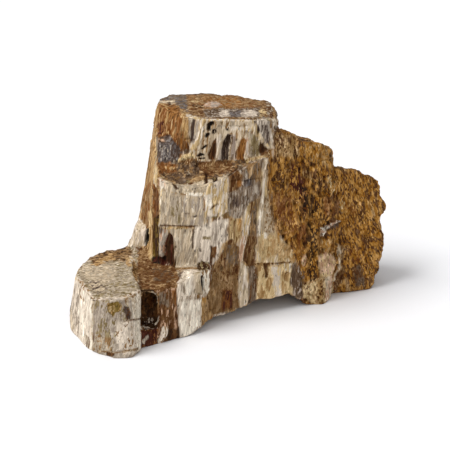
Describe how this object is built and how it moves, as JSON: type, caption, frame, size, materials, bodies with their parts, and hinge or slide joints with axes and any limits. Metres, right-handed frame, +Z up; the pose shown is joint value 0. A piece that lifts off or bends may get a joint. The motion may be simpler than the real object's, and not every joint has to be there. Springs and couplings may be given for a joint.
{
  "type": "petrified wood",
  "caption": "Free-standing block of petrified wood: a low round stub, a ledge, a tall split column with a shelf across its front, and a rough brown wing that steps down.",
  "frame": {"origin": "middle of the overall box, on the surface that the stone stands on", "axes": "+X runs from the low stub to the wing, +Y goes from the split front to the back, +Z is up"},
  "size_m": [0.181, 0.1162, 0.1183],
  "materials": {
    "silicified_wood": "matt broken stone with wood grain, cream to iron brown"
  },
  "bodies": {
    "root": {"petrified_wood": "silicified_wood"}
  },
  "joints": []
}
